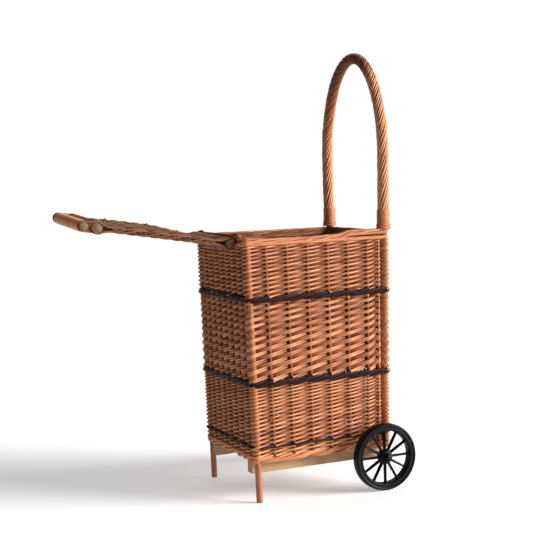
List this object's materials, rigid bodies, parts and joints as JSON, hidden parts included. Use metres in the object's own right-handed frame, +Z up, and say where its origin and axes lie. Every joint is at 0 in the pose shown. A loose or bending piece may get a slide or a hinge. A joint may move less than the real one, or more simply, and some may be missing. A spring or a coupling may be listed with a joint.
{
  "type": "wicker log trolley",
  "caption": "Tall square woven willow basket on wheels, with a bow handle at the wheel end and a hinged woven lid with a grip.",
  "frame": {"origin": "on the floor, at the centre of the whole object's box at rest", "axes": "+X from the lid's grip towards the wheels, +Y across the basket along the axle, +Z up"},
  "size_m": [0.745, 0.403, 0.9985],
  "materials": {
    "willow_weave": "matte",
    "dark_willow": "satin",
    "willow_stake": "matte",
    "peeled_rod": "matte",
    "bow_willow": "satin",
    "lid_willow": "satin",
    "batten_wood": "matte",
    "axle_steel": "satin",
    "black_plastic": "satin",
    "tyre_black": "satin"
  },
  "bodies": {
    "basket": {"foot_border": "willow_weave", "foot_weave": "willow_weave", "lower_weave": "willow_weave", "middle_weave": "willow_weave", "upper_weave": "willow_weave", "rim_border": "willow_weave", "base_band": "dark_willow", "lower_band": "dark_willow", "upper_band": "dark_willow", "front_stakes": "willow_stake", "back_stakes": "willow_stake", "grip_side_stakes": "willow_stake", "wheel_side_stakes": "willow_stake", "corner_post_front": "peeled_rod", "corner_post_back": "peeled_rod", "bow_core": "peeled_rod", "bow_wrap": "bow_willow", "bow_collars": "bow_willow", "base_panel": "willow_weave", "base_batten_front": "batten_wood", "base_batten_back": "batten_wood", "hinge_rod": "peeled_rod", "axle": "axle_steel", "axle_cap_front": "black_plastic", "axle_cap_back": "black_plastic", "axle_washer_front": "axle_steel", "axle_washer_back": "axle_steel"},
    "lid": {"lid_hinge_rod": "peeled_rod", "lid_outer_rod": "peeled_rod", "lid_stakes": "willow_stake", "lid_weave": "lid_willow", "grip_core": "peeled_rod", "grip_wrap": "lid_willow", "hinge_loops": "lid_willow", "grip_straps": "lid_willow"},
    "front_wheel": {"wheel_front": "black_plastic", "tyre_front": "tyre_black"},
    "back_wheel": {"wheel_back": "black_plastic", "tyre_back": "tyre_black"}
  },
  "joints": [
    {"name": "lid_swing", "type": "hinge", "parent": "basket", "child": "lid", "pos_m": [-0.01932, 0, 0.58895], "axis": [0, 1, 0], "range_deg": [0, 170.6]},
    {"name": "front_wheel_spin", "type": "hinge", "parent": "basket", "child": "front_wheel", "pos_m": [0.29653, -0.18, 0.076], "axis": [0, 1, 0], "continuous": true},
    {"name": "back_wheel_spin", "type": "hinge", "parent": "basket", "child": "back_wheel", "pos_m": [0.29653, 0.18, 0.076], "axis": [0, 1, 0], "continuous": true}
  ]
}
